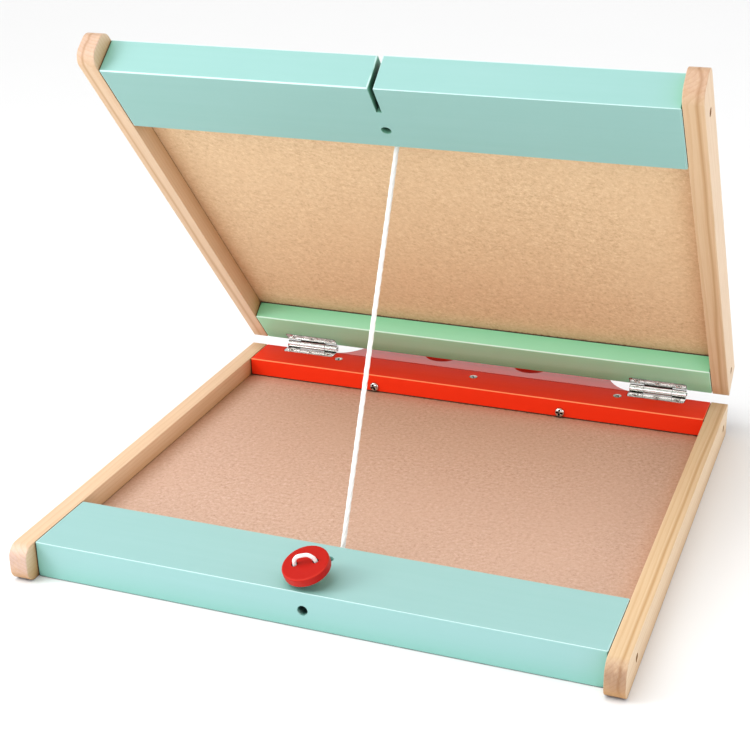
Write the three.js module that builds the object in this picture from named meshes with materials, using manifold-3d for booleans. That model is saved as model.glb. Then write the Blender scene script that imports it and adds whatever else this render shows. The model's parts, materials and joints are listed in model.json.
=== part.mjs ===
// A child's folding table-top easel, shown open: a tray frame on the table and a lid frame hinged to it.
// Millimetres, +X right, +Y towards the hinges, +Z up. The origin is under the middle of the whole easel.
import * as THREE from "three";
import { mergeVertices } from "three/addons/utils/BufferGeometryUtils.js";
import Module from "manifold-3d";

const wasm = await Module();
wasm.setup();

// ---- Driving dimensions -------------------------------------------------------------------------

const OVERALL_WIDTH = 346;
const FRAME_DEPTH = 310; // front face of a front rail to the back face of a back rail
const RAIL_HEIGHT = 22;
const SIDE_RAIL_THICKNESS = 11;
const SIDE_RAIL_NOSE = 10; // how far a side rail reaches past the front rail
const NOSE_RADIUS = 7.5;
const FRONT_RAIL_WIDTH = 51;
const BASE_BACK_RAIL_WIDTH = 29;
const LID_BACK_RAIL_WIDTH = 30;

const TRAY_DEPTH = 12.8; // mating face down to the hardboard
const TRAY_PANEL_THICKNESS = 3;
const WRITING_BOARD_THICKNESS = 3;
const PANEL_TONGUE = 4; // how far a panel's edge reaches into a rail

const OPENING_ANGLE = THREE.MathUtils.degToRad(49.4);
const CLOSED_GAP = 3.7; // between the two frames when they are shut
const HINGE_AXIS_SETBACK = 2.6; // hinge axis behind the back faces

const HINGE_LENGTH = 38;
const HINGE_SPACING = 252; // between the middles of the two hinges
const HINGE_LEAF_REACH = 8.2; // a leaf's front edge to the back face of its rail
const HINGE_LEAF_THICKNESS = 1.1;
const HINGE_LEAF_CORNER = 1.6;
const HINGE_BARREL_RADIUS = 2.8;
const HINGE_PIN_RADIUS = 1;
const HINGE_PIN_END = 0.6; // how far the pin stands out of the barrel
const HINGE_MIDDLE_KNUCKLE = 19;
const HINGE_SCREW_SPACING = 14;
const HINGE_SCREW_SETBACK = 4.3; // rail's back face to the leaf's screws

const HANDLE_ROOT_WIDTH = 214;
const HANDLE_TIP_WIDTH = 172;
const HANDLE_REACH = 40;
const HANDLE_THICKNESS = 15;
const HANDLE_CORNER_RADIUS = 14;
const FINGER_HOLE_RADIUS = 12.2;
const FINGER_HOLE_SPACING = 66;
const FINGER_HOLE_SETBACK = 20.7; // back rail to the middle of a finger hole

const TOP_SCREW_SPACING = 101;
const TOP_SCREW_SETBACK = 10; // in front of the back rail's back face
const HANDLE_SCREW_SPACING = 133;
const HANDLE_SCREW_RISE = 4; // above the tray's hardboard
const CORNER_SCREW_SETBACK = 15.6; // from a frame's front face, and from its back face
const CORNER_SCREW_SINK = 2.5; // head below the side rail's outer face

// Screws: head radius, head height, shank radius, length under the head
const TOP_SCREW = { head: 2.7, rise: 1.6, shank: 1.4, length: 14 };
const HINGE_SCREW = { head: 1.9, rise: 0.9, shank: 1, length: 9 };
const CORNER_SCREW = { head: 2.2, rise: 1.4, shank: 1.3, length: 26 };
const HANDLE_SCREW = { head: 3.3, rise: 1.8, shank: 1.7, length: 42 };

const CORD_DIAMETER = 2.8;
const CORD_BORE_RADIUS = 2.4; // level bore from a front rail's inner face
const CORD_HOLE_RADIUS = 3; // upright holes, and the level bore from the base's front face
const STAY_HOLE_SETBACK = 36.5; // a front face to the upright hole that holds the stay cord's knot
const BUTTON_HOLE_SETBACK = 14; // the base's front face to the upright hole of the button's cord
const KNOT_RADIUS = 2.6;
const SLOT_WIDTH = 3.2;
const SLOT_DEPTH = 20.5;

const BUTTON_CORD_DIAMETER = 2.2;
const BUTTON_RADIUS = 13.1;
const BUTTON_THICKNESS = 5.4;
const BUTTON_EDGE = 0.6; // bevel round the button's two faces
const BUTTON_EYE_RADIUS = 1.7;
const BUTTON_EYE_SPACING = 11.6;
const BUTTON_RISE = 9.5; // the button's middle over the front rail's top face
// From the base's front face, at table height
const BUTTON_PLACE = new THREE.Vector3(-1.6, 11, RAIL_HEIGHT + BUTTON_RISE);
const BUTTON_TURN = [16.7, -9.9, 13.6].map(THREE.MathUtils.degToRad); // about X, Y, then its own axis

const FIT_GAP = 0.3; // clearance between pieces that touch
const OVERCUT = 5; // how far a cutting solid runs past the face that it opens

// A pan head's crown, as shares of the head's radius and height
const PAN_CROWN_RADIUS = 0.55;
const PAN_SHOULDER_HEIGHT = 0.45;

// How finely round shapes are divided
const DRILL_SIDES = 16;
const SCREW_SIDES = 12;
const FINGER_HOLE_SIDES = 40;
const BUTTON_SIDES = 32;
const CORD_SIDES = 8;
const KNOT_SIDES = 10;
const KNOT_BANDS = 6;
const CORNER_STEPS = 8;
const STAY_CORD_STEPS = 40;
const BUTTON_CORD_STEPS = 30;
const MERGE_DISTANCE = 1e-4;

// Routes from the middle of the base's front face at table height, where the cords lie with the easel open.
const STAY_CORD_ROUTE = [
  [0, 39.5, 11],
  [0, 44, 11],
  [0, 48, 11],
  [0, 50.2, 11],
  [0, 52.3, 11.4],
  [0, 54.2, 12.5],
  [0, 55.6, 14.5],
  [0, 64.4, 33.6],
  [0, 73.2, 52.8],
  [0, 82, 71.9],
  [0, 90.8, 91.1],
  [0, 99.6, 110.2],
  [0, 108.4, 129.4],
  [0, 117.2, 148.5],
  [0, 126, 167.6],
  [0, 134.8, 186.8],
  [0, 143.6, 205.9],
  [0, 152.4, 225.1],
  [0, 153, 227.3],
  [0, 152.7, 229.5],
  [0, 151.6, 231.5],
  [0, 148.2, 235.4],
  [0, 144.6, 239.6],
];
const BUTTON_CORD_ROUTE = [
  [-1.3, 14, 13.9],
  [-1.3, 14, 17],
  [-1.4, 14, 20],
  [-2, 13.7, 22.4],
  [-4.3, 12.5, 25],
  [-6.3, 11.1, 26.7],
  [-6.8, 10.3, 28.4],
  [-7.2, 9.5, 30.6],
  [-7.5, 8.9, 33],
  [-7.3, 8.4, 35.2],
  [-6.2, 8.2, 37.3],
  [-4.2, 8.4, 38.5],
  [-1.6, 9.1, 39.2],
  [0.6, 9.8, 38.9],
  [2.4, 10.7, 37.6],
  [3.3, 11.4, 35.7],
  [3.8, 12.2, 33.3],
  [4.2, 12.9, 30.8],
  [4.2, 13.5, 28.9],
  [3.6, 13.8, 27],
  [2.2, 14, 24.8],
  [1.5, 14, 22.4],
  [1.3, 14, 20],
  [1.3, 14, 17],
  [1.3, 14, 13.9],
];

// ---- Sizes that follow --------------------------------------------------------------------------

const INNER_WIDTH = OVERALL_WIDTH - 2 * SIDE_RAIL_THICKNESS;
const PANEL_TOP = RAIL_HEIGHT - TRAY_DEPTH;
const BOARD_TOP = PANEL_TOP - TRAY_PANEL_THICKNESS - FIT_GAP;
const BOARD_BOTTOM = BOARD_TOP - WRITING_BOARD_THICKNESS;
const HINGE_Y = FRAME_DEPTH + HINGE_AXIS_SETBACK;
const HINGE_Z = RAIL_HEIGHT + CLOSED_GAP / 2;
const CORD_HEIGHT = RAIL_HEIGHT / 2;
const HANDLE_FRONT = FRAME_DEPTH + FIT_GAP;
const FRONT_TO_MIDDLE = (HANDLE_FRONT + HANDLE_REACH - SIDE_RAIL_NOSE) / 2;

// Each side's name and the sign of its X. A frame that is turned over has its sides the other way round.
const SIDES = [
  ["left", -1],
  ["right", 1],
];
const SIDES_TURNED_OVER = [
  ["right", -1],
  ["left", 1],
];

// ---- Materials ----------------------------------------------------------------------------------

const paint = (color, roughness, metalness = 0) =>
  new THREE.MeshStandardMaterial({ color, roughness, metalness });
const PINE = paint(0xecd0aa, 0.55);
const TURQUOISE = paint(0x9fdcd4, 0.4);
const RED = paint(0xdc3220, 0.35);
const HARDBOARD = paint(0xcfa47c, 0.75);
const CHALKBOARD = paint(0x22262a, 0.8);
const WHITEBOARD = paint(0xf4f5f5, 0.2);
const NICKEL = paint(0xc9c9c6, 0.25, 1);
const COTTON = paint(0xf4f2ec, 0.9);

// ---- Solids -------------------------------------------------------------------------------------

function solidOf(geometry) {
  geometry.deleteAttribute("normal");
  geometry.deleteAttribute("uv");
  const merged = mergeVertices(geometry, MERGE_DISTANCE);
  return new wasm.Manifold(
    new wasm.Mesh({
      numProp: 3,
      vertProperties: merged.attributes.position.array,
      triVerts: new Uint32Array(merged.index.array),
    }),
  );
}

function meshOf(name, solid, material) {
  const { vertProperties, triVerts } = solid.getMesh();
  const geometry = new THREE.BufferGeometry();
  geometry.setAttribute(
    "position",
    new THREE.BufferAttribute(vertProperties, 3),
  );
  geometry.setIndex(new THREE.BufferAttribute(triVerts, 1));
  const mesh = new THREE.Mesh(geometry, material);
  mesh.name = name;
  return mesh;
}

// A box between two opposite corners.
function block([x0, y0, z0], [x1, y1, z1]) {
  const box = new THREE.BoxGeometry(x1 - x0, y1 - y0, z1 - z0);
  box.translate((x0 + x1) / 2, (y0 + y1) / 2, (z0 + z1) / 2);
  return solidOf(box);
}

// A round rod between two points, also used as a drill.
function rod(radius, from, to, sides = DRILL_SIDES) {
  const start = new THREE.Vector3(...from);
  const end = new THREE.Vector3(...to);
  const along = end.clone().sub(start);
  const bar = new THREE.CylinderGeometry(
    radius,
    radius,
    along.length(),
    sides,
  );
  bar.applyQuaternion(
    new THREE.Quaternion().setFromUnitVectors(
      new THREE.Vector3(0, 1, 0),
      along.clone().normalize(),
    ),
  );
  bar.translate(...start.add(end).multiplyScalar(0.5));
  return solidOf(bar);
}

// A flat outline of X, Y points, thickened from z0 to z1.
function plate(shape, z0, z1) {
  const slab = new THREE.ExtrudeGeometry(shape, {
    depth: z1 - z0,
    bevelEnabled: false,
    curveSegments: CORNER_STEPS,
  });
  slab.translate(0, 0, z0);
  return solidOf(slab);
}

// A screw whose head's outer face is at "head" and whose point is along "direction".
// A countersunk head is a cone under that face, a pan head a dome above it. "room" widens it into its hole.
function screw(
  { head, rise, shank, length },
  at,
  direction,
  { pan = false, room = 0 } = {},
) {
  const underside = pan ? 0 : rise;
  const crown = pan
    ? [
        [head * PAN_CROWN_RADIUS, rise + room],
        [head + room, rise * PAN_SHOULDER_HEIGHT],
      ]
    : [[head + room, room * OVERCUT]];
  const profile = [
    [0, pan ? rise + room : room * OVERCUT],
    ...crown,
    [head + room, pan ? -room : 0],
    [shank + room, -underside - room],
    [shank + room, -length],
    [0, -length - shank - 2 * room],
  ].map(([r, z]) => new THREE.Vector2(r, z));
  const body = new THREE.LatheGeometry(profile.reverse(), SCREW_SIDES);
  body.applyQuaternion(
    new THREE.Quaternion().setFromUnitVectors(
      new THREE.Vector3(0, -1, 0),
      new THREE.Vector3(...direction),
    ),
  );
  body.translate(...at);
  return solidOf(body);
}

// A round cord of one thickness along a route of points.
function cord(route, diameter, steps) {
  const corners = Array.from({ length: CORD_SIDES }, (_, i) => {
    const turn = (i / CORD_SIDES) * 2 * Math.PI;
    return new THREE.Vector2(Math.cos(turn), Math.sin(turn)).multiplyScalar(
      diameter / 2,
    );
  });
  const path = new THREE.CatmullRomCurve3(
    route.map((point) => new THREE.Vector3(...point)),
  );
  return solidOf(
    new THREE.ExtrudeGeometry(new THREE.Shape(corners), {
      steps,
      extrudePath: path,
      bevelEnabled: false,
    }),
  );
}

// The ball that stands for a knot.
function knot(x, y, z) {
  const ball = new THREE.SphereGeometry(KNOT_RADIUS, KNOT_SIDES, KNOT_BANDS);
  ball.translate(x, y, z);
  return solidOf(ball);
}

const drill = (solid, ...cutters) =>
  cutters.reduce((left, cutter) => left.subtract(cutter), solid);

// ---- Where the fasteners sit, in a frame's own coordinates ---------------------------------------
// A frame lies on its outer face: z = 0 is the outer face, z = RAIL_HEIGHT the one that meets the other frame.

function cornerScrews(sign) {
  return [CORNER_SCREW_SETBACK, FRAME_DEPTH - CORNER_SCREW_SETBACK].map(
    (y) => ({
      at: [
        sign * (OVERALL_WIDTH / 2 - CORNER_SCREW_SINK),
        y,
        RAIL_HEIGHT / 2,
      ],
      direction: [-sign, 0, 0],
    }),
  );
}

// The hole of a corner screw, with the wide sink that its head sits in.
function cornerScrewHole({ at, direction }) {
  const outside = [at[0] - direction[0] * OVERALL_WIDTH, at[1], at[2]];
  return screw(CORNER_SCREW, at, direction, { room: FIT_GAP }).add(
    rod(CORNER_SCREW.head + FIT_GAP, at, outside),
  );
}

const hingeMiddle = (sign) => (sign * HINGE_SPACING) / 2;

function hingeScrews(sign) {
  return [-1, 0, 1].map((step) => ({
    at: [
      hingeMiddle(sign) + step * HINGE_SCREW_SPACING,
      FRAME_DEPTH - HINGE_SCREW_SETBACK,
      RAIL_HEIGHT,
    ],
    direction: [0, 0, -1],
  }));
}

const topScrews = [
  ["left", -1],
  ["middle", 0],
  ["right", 1],
].map(([side, step]) => ({
  side,
  at: [
    step * TOP_SCREW_SPACING,
    FRAME_DEPTH - TOP_SCREW_SETBACK,
    RAIL_HEIGHT,
  ],
  direction: [0, 0, -1],
}));

const handleScrews = SIDES.map(([side, sign]) => ({
  side,
  at: [
    (sign * HANDLE_SCREW_SPACING) / 2,
    FRAME_DEPTH - BASE_BACK_RAIL_WIDTH - FIT_GAP,
    PANEL_TOP + HANDLE_SCREW_RISE,
  ],
  direction: [0, 1, 0],
}));

// ---- Frame pieces -------------------------------------------------------------------------------

// The groove all round the inside of a frame, which holds the hardboard and the writing board.
function panelGroove(backRailWidth) {
  const reach = PANEL_TONGUE + FIT_GAP;
  return block(
    [
      -INNER_WIDTH / 2 - reach,
      FRONT_RAIL_WIDTH - reach,
      BOARD_BOTTOM - FIT_GAP,
    ],
    [
      INNER_WIDTH / 2 + reach,
      FRAME_DEPTH - backRailWidth + reach,
      PANEL_TOP + FIT_GAP,
    ],
  );
}

function panel(backRailWidth, z0, z1) {
  return block(
    [-INNER_WIDTH / 2 - PANEL_TONGUE, FRONT_RAIL_WIDTH - PANEL_TONGUE, z0],
    [
      INNER_WIDTH / 2 + PANEL_TONGUE,
      FRAME_DEPTH - backRailWidth + PANEL_TONGUE,
      z1,
    ],
  );
}

function sideRail(sign, backRailWidth) {
  const r = NOSE_RADIUS;
  const tip = -SIDE_RAIL_NOSE;
  const outline = new THREE.Shape();
  outline.moveTo(FRAME_DEPTH, 0);
  outline.lineTo(FRAME_DEPTH, RAIL_HEIGHT);
  outline.lineTo(tip + r, RAIL_HEIGHT);
  outline.absarc(
    tip + r,
    RAIL_HEIGHT - r,
    r,
    Math.PI / 2,
    Math.PI,
    false,
  );
  outline.absarc(tip + r, r, r, Math.PI, Math.PI * 1.5, false);
  const bar = new THREE.ExtrudeGeometry(outline, {
    depth: SIDE_RAIL_THICKNESS,
    bevelEnabled: false,
    curveSegments: CORNER_STEPS,
  });
  // The outline was drawn as Y, Z and thickened; stand it up so that it is thickened along X.
  bar.applyMatrix4(
    new THREE.Matrix4().makeBasis(
      new THREE.Vector3(0, 1, 0),
      new THREE.Vector3(0, 0, 1),
      new THREE.Vector3(1, 0, 0),
    ),
  );
  const inner = INNER_WIDTH / 2;
  bar.translate(sign > 0 ? inner : -inner - SIDE_RAIL_THICKNESS, 0, 0);
  return drill(
    solidOf(bar),
    panelGroove(backRailWidth),
    ...cornerScrews(sign).map(cornerScrewHole),
  );
}

// A rail across the frame from y0 to y1, grooved and bored for the corner screws.
function crossRail(y0, y1, backRailWidth) {
  const half = INNER_WIDTH / 2 - FIT_GAP;
  return drill(
    block([-half, y0, 0], [half, y1, RAIL_HEIGHT]),
    panelGroove(backRailWidth),
    ...SIDES.flatMap(([, sign]) =>
      cornerScrews(sign).map((seat) =>
        screw(CORNER_SCREW, seat.at, seat.direction, { room: FIT_GAP }),
      ),
    ),
  );
}

// The upright hole of the stay cord's knot, and the level bore that the cord leaves it by.
const stayCordHoles = () => [
  rod(
    CORD_HOLE_RADIUS,
    [0, STAY_HOLE_SETBACK, CORD_HEIGHT - CORD_HOLE_RADIUS - FIT_GAP],
    [0, STAY_HOLE_SETBACK, RAIL_HEIGHT + OVERCUT],
  ),
  rod(
    CORD_BORE_RADIUS,
    [0, STAY_HOLE_SETBACK, CORD_HEIGHT],
    [0, FRONT_RAIL_WIDTH + OVERCUT, CORD_HEIGHT],
  ),
];

// The upright hole under the button, and the level bore from the front face that its knot is tied through.
const buttonCordHoles = () => [
  rod(
    CORD_HOLE_RADIUS,
    [0, BUTTON_HOLE_SETBACK, CORD_HEIGHT - CORD_HOLE_RADIUS - FIT_GAP],
    [0, BUTTON_HOLE_SETBACK, RAIL_HEIGHT + OVERCUT],
  ),
  rod(
    CORD_HOLE_RADIUS,
    [0, -OVERCUT, CORD_HEIGHT],
    [0, BUTTON_HOLE_SETBACK, CORD_HEIGHT],
  ),
];

const cordSlot = () =>
  block(
    [-SLOT_WIDTH / 2, -OVERCUT, -OVERCUT],
    [SLOT_WIDTH / 2, SLOT_DEPTH, RAIL_HEIGHT + OVERCUT],
  );

// ---- Hinges -------------------------------------------------------------------------------------

const barrelRod = (radius, x0, x1) =>
  rod(radius, [x0, HINGE_Y, HINGE_Z], [x1, HINGE_Y, HINGE_Z]);

function leafOutline(middle, edge) {
  const half = HINGE_LENGTH / 2 + edge;
  const front = FRAME_DEPTH - HINGE_LEAF_REACH - edge;
  const r = HINGE_LEAF_CORNER + edge;
  const outline = new THREE.Shape();
  outline.moveTo(middle + half, HINGE_Y);
  outline.lineTo(middle - half, HINGE_Y);
  outline.absarc(
    middle - half + r,
    front + r,
    r,
    Math.PI,
    Math.PI * 1.5,
    false,
  );
  outline.absarc(middle + half - r, front + r, r, -Math.PI / 2, 0, false);
  return outline;
}

// The shallow recess in a back rail that a leaf lies in.
const leafMortise = (sign) =>
  plate(
    leafOutline(hingeMiddle(sign), FIT_GAP),
    RAIL_HEIGHT - HINGE_LEAF_THICKNESS - FIT_GAP,
    RAIL_HEIGHT + OVERCUT,
  );

// A leaf with its knuckles. The base's leaf has the two outer knuckles, the lid's leaf the middle one.
function hingeLeaf(sign, outerKnuckles) {
  const middle = hingeMiddle(sign);
  const half = HINGE_LENGTH / 2;
  const split = HINGE_MIDDLE_KNUCKLE / 2;
  const mine = outerKnuckles
    ? [
        [-half, -split - FIT_GAP],
        [split + FIT_GAP, half],
      ]
    : [[-split, split]];
  const theirs = outerKnuckles
    ? [[-split - FIT_GAP, split + FIT_GAP]]
    : [
        [-half - FIT_GAP, -split],
        [split, half + FIT_GAP],
      ];
  const clearance = HINGE_BARREL_RADIUS + FIT_GAP;
  const leaf = plate(
    leafOutline(middle, 0),
    RAIL_HEIGHT - HINGE_LEAF_THICKNESS,
    RAIL_HEIGHT,
  );
  const knuckled = mine.reduce(
    (solid, [x0, x1]) =>
      solid.add(barrelRod(HINGE_BARREL_RADIUS, middle + x0, middle + x1)),
    drill(
      leaf,
      ...theirs.map(([x0, x1]) =>
        block(
          [middle + x0, HINGE_Y - clearance, 0],
          [middle + x1, HINGE_Y + clearance, RAIL_HEIGHT + OVERCUT],
        ),
      ),
    ),
  );
  return drill(
    knuckled,
    barrelRod(
      HINGE_PIN_RADIUS + FIT_GAP,
      middle - HINGE_LENGTH,
      middle + HINGE_LENGTH,
    ),
    ...hingeScrewHoles(sign),
  );
}

const hingeScrewHoles = (sign) =>
  hingeScrews(sign).map(({ at, direction }) =>
    screw(HINGE_SCREW, at, direction, { room: FIT_GAP }),
  );

function hingePin(sign) {
  const reach = HINGE_LENGTH / 2 + HINGE_PIN_END;
  const middle = hingeMiddle(sign);
  return barrelRod(HINGE_PIN_RADIUS, middle - reach, middle + reach);
}

// ---- One frame, in its own coordinates ----------------------------------------------------------

function frame(
  name,
  backRailWidth,
  { sides, backPaint, board, outerKnuckles, frontHoles, backHoles },
) {
  const group = new THREE.Group();
  const add = (piece, solid, material) =>
    group.add(meshOf(`${name}_${piece}`, solid, material));
  const hingeSeats = sides.flatMap(([, sign]) => [
    leafMortise(sign),
    ...hingeScrewHoles(sign),
  ]);

  add(
    "front_rail",
    drill(crossRail(0, FRONT_RAIL_WIDTH, backRailWidth), ...frontHoles),
    TURQUOISE,
  );
  add(
    "back_rail",
    drill(
      crossRail(FRAME_DEPTH - backRailWidth, FRAME_DEPTH, backRailWidth),
      ...hingeSeats,
      ...backHoles,
    ),
    backPaint,
  );
  add(
    "tray_panel",
    panel(backRailWidth, BOARD_TOP + FIT_GAP, PANEL_TOP),
    HARDBOARD,
  );
  add(
    "writing_board",
    panel(backRailWidth, BOARD_BOTTOM, BOARD_TOP),
    board,
  );
  for (const [side, sign] of sides) {
    add(`${side}_rail`, sideRail(sign, backRailWidth), PINE);
    cornerScrews(sign).forEach(({ at, direction }, i) =>
      add(
        `${side}_corner_screw_${i + 1}`,
        screw(CORNER_SCREW, at, direction),
        NICKEL,
      ),
    );
    add(`${side}_hinge_leaf`, hingeLeaf(sign, outerKnuckles), NICKEL);
    hingeScrews(sign).forEach(({ at, direction }, i) =>
      add(
        `${side}_hinge_screw_${i + 1}`,
        screw(HINGE_SCREW, at, direction),
        NICKEL,
      ),
    );
  }
  add("stay_knot", knot(0, STAY_HOLE_SETBACK, CORD_HEIGHT), COTTON);
  return group;
}

// ---- Carry handle -------------------------------------------------------------------------------

function carryHandle() {
  const root = HANDLE_ROOT_WIDTH / 2;
  const tip = HANDLE_TIP_WIDTH / 2;
  const back = HANDLE_FRONT + HANDLE_REACH;
  const r = HANDLE_CORNER_RADIUS;
  const flare = r / 2; // how the ends sweep out to the back rail
  const ease = r / 4;
  const outline = new THREE.Shape();
  outline.moveTo(root, HANDLE_FRONT);
  outline.quadraticCurveTo(
    tip + flare,
    HANDLE_FRONT + ease,
    tip,
    back - r,
  );
  outline.quadraticCurveTo(tip - ease, back, tip - r, back);
  outline.lineTo(r - tip, back);
  outline.quadraticCurveTo(ease - tip, back, -tip, back - r);
  outline.quadraticCurveTo(
    -tip - flare,
    HANDLE_FRONT + ease,
    -root,
    HANDLE_FRONT,
  );
  const grip = plate(outline, RAIL_HEIGHT - HANDLE_THICKNESS, RAIL_HEIGHT);
  const fingerHoles = SIDES.map(([, sign]) => {
    const x = (sign * FINGER_HOLE_SPACING) / 2;
    const y = FRAME_DEPTH + FINGER_HOLE_SETBACK;
    return rod(
      FINGER_HOLE_RADIUS,
      [x, y, -OVERCUT],
      [x, y, RAIL_HEIGHT + OVERCUT],
      FINGER_HOLE_SIDES,
    );
  });
  return drill(grip, ...fingerHoles, ...handleScrewHoles());
}

const handleScrewHoles = () =>
  handleScrews.map(({ at, direction }) =>
    screw(HANDLE_SCREW, at, direction, { pan: true, room: FIT_GAP }),
  );

// ---- Button -------------------------------------------------------------------------------------

function closingButton() {
  const half = BUTTON_THICKNESS / 2;
  const profile = [
    [0, -half],
    [BUTTON_RADIUS - BUTTON_EDGE, -half],
    [BUTTON_RADIUS, -half + BUTTON_EDGE],
    [BUTTON_RADIUS, half - BUTTON_EDGE],
    [BUTTON_RADIUS - BUTTON_EDGE, half],
    [0, half],
  ].map(([r, z]) => new THREE.Vector2(r, z));
  const disc = new THREE.LatheGeometry(profile, BUTTON_SIDES);
  disc.rotateX(Math.PI / 2);
  const eyes = SIDES.map(([, sign]) => {
    const x = (sign * BUTTON_EYE_SPACING) / 2;
    return rod(
      BUTTON_EYE_RADIUS,
      [x, 0, -BUTTON_THICKNESS],
      [x, 0, BUTTON_THICKNESS],
    );
  });
  return drill(solidOf(disc), ...eyes);
}

// ---- Assembly -----------------------------------------------------------------------------------

const easel = new THREE.Group();
const onTable = new THREE.Group();
onTable.position.y = -FRONT_TO_MIDDLE;
easel.add(onTable);

onTable.add(
  frame("base", BASE_BACK_RAIL_WIDTH, {
    sides: SIDES,
    backPaint: RED,
    board: WHITEBOARD,
    outerKnuckles: true,
    frontHoles: [...stayCordHoles(), ...buttonCordHoles()],
    backHoles: [
      ...topScrews.map(({ at, direction }) =>
        screw(TOP_SCREW, at, direction, { room: FIT_GAP }),
      ),
      ...handleScrewHoles(),
    ],
  }),
);
for (const { side, at, direction } of topScrews)
  onTable.add(
    meshOf(`top_screw_${side}`, screw(TOP_SCREW, at, direction), NICKEL),
  );
onTable.add(meshOf("carry_handle", carryHandle(), RED));
for (const { side, at, direction } of handleScrews)
  onTable.add(
    meshOf(
      `handle_screw_${side}`,
      screw(HANDLE_SCREW, at, direction, { pan: true }),
      NICKEL,
    ),
  );
for (const [side, sign] of SIDES)
  onTable.add(meshOf(`${side}_hinge_pin`, hingePin(sign), NICKEL));

// The lid is the same frame turned over about Y, CLOSED_GAP above the base, then opened about the hinges.
const lid = new THREE.Group();
lid.position.set(0, HINGE_Y, HINGE_Z);
lid.rotation.x = -OPENING_ANGLE;
const turnedOver = new THREE.Group();
turnedOver.rotation.y = Math.PI;
turnedOver.position.set(
  0,
  -HINGE_Y,
  2 * RAIL_HEIGHT + CLOSED_GAP - HINGE_Z,
);
turnedOver.add(
  frame("lid", LID_BACK_RAIL_WIDTH, {
    sides: SIDES_TURNED_OVER,
    backPaint: TURQUOISE,
    board: CHALKBOARD,
    outerKnuckles: false,
    frontHoles: [...stayCordHoles(), cordSlot()],
    backHoles: [],
  }),
);
lid.add(turnedOver);
onTable.add(lid);

const button = meshOf("closing_button", closingButton(), RED);
button.position.copy(BUTTON_PLACE);
button.rotation.set(...BUTTON_TURN, "YXZ");
onTable.add(button);
onTable.add(
  meshOf("stay_cord", cord(STAY_CORD_ROUTE, CORD_DIAMETER, STAY_CORD_STEPS), COTTON),
);
onTable.add(
  meshOf(
    "button_cord",
    cord(BUTTON_CORD_ROUTE, BUTTON_CORD_DIAMETER, BUTTON_CORD_STEPS),
    COTTON,
  ),
);
onTable.add(
  meshOf(
    "button_knot",
    knot(0, BUTTON_HOLE_SETBACK, CORD_HEIGHT - FIT_GAP),
    COTTON,
  ),
);

export default easel;
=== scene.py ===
"""The looks of a child's folding table-top easel, built around its CAD frame. Metres, +Z up."""

import json
import math

import bmesh
import bpy
import numpy as np
from mathutils import Matrix, Vector

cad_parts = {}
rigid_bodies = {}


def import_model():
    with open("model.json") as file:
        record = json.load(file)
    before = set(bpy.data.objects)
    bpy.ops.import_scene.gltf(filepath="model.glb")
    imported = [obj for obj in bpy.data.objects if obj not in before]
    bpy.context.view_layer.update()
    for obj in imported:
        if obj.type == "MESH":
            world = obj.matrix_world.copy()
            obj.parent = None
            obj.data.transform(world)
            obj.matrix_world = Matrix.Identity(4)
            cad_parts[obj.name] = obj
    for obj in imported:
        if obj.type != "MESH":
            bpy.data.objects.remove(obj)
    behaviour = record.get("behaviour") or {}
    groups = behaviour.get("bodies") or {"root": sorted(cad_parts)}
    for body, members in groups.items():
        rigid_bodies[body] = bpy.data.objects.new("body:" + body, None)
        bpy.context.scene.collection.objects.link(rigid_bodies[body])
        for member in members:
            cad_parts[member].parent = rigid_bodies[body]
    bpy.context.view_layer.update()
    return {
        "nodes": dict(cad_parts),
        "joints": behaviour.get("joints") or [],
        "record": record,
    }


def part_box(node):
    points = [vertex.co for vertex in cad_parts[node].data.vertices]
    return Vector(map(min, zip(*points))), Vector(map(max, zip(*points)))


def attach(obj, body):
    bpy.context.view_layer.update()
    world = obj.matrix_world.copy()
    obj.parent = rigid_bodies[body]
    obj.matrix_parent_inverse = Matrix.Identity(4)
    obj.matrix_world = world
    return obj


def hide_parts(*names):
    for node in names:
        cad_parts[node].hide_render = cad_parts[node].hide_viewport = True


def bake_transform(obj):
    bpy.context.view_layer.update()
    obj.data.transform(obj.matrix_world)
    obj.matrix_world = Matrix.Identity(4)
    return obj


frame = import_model()
nodes = frame["nodes"]
MM = 0.001

# ---- Places taken from the frame ----------------------------------------------------------------

front_rail_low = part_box("base_front_rail")[0]
TABLE_FRONT = Vector((0, front_rail_low.y, 0))
LID_TILT = math.radians(frame["joints"][0]["range_deg"][1])  # how far the lid stands open at rest
BASE, LID, BUTTON = "base", "lid", "button"


def in_frame(x, y, z):
    """A point given in millimetres from the middle of the base's front face, at table height."""
    return TABLE_FRONT + Vector((x, y, z)) * MM


# ---- Camera -------------------------------------------------------------------------------------

CAMERA_PLACE = (0.2765, -0.7719, 0.4278)
CAMERA_TURN = 21.2  # degrees left of +Y
CAMERA_DIP = 23.2
CAMERA_ROLL = -1.0
CAMERA_LENS = 70.8  # millimetres, as the sensor is
CAMERA_SENSOR = 36
CAMERA_SIGHT = 50  # metres, past the floor's far edge


def make_camera():
    data = bpy.data.cameras.new("camera")
    data.lens = CAMERA_LENS
    data.sensor_width = CAMERA_SENSOR
    data.clip_end = CAMERA_SIGHT
    camera = bpy.data.objects.new("camera", data)
    bpy.context.scene.collection.objects.link(camera)
    camera.matrix_world = (
        Matrix.Translation(CAMERA_PLACE)
        @ Matrix.Rotation(math.radians(CAMERA_TURN), 4, "Z")
        @ Matrix.Rotation(math.radians(90 - CAMERA_DIP), 4, "X")
        @ Matrix.Rotation(math.radians(CAMERA_ROLL), 4, "Z")
    )
    bpy.context.scene.camera = camera


# ---- Shader helpers -----------------------------------------------------------------------------

# How far round a spot walls count, for corners and for holes, and the open share of its surroundings at
# which the painted shade of the corner or of the hole starts to fade and is gone
CORNER_SHADE_REACH = 16 * MM
CORNER_SHADE_OPEN = (0.35, 0.95)
HOLLOW_SHADE_REACH = 7 * MM
HOLLOW_SHADE_OPEN = (0.22, 0.48)
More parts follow.
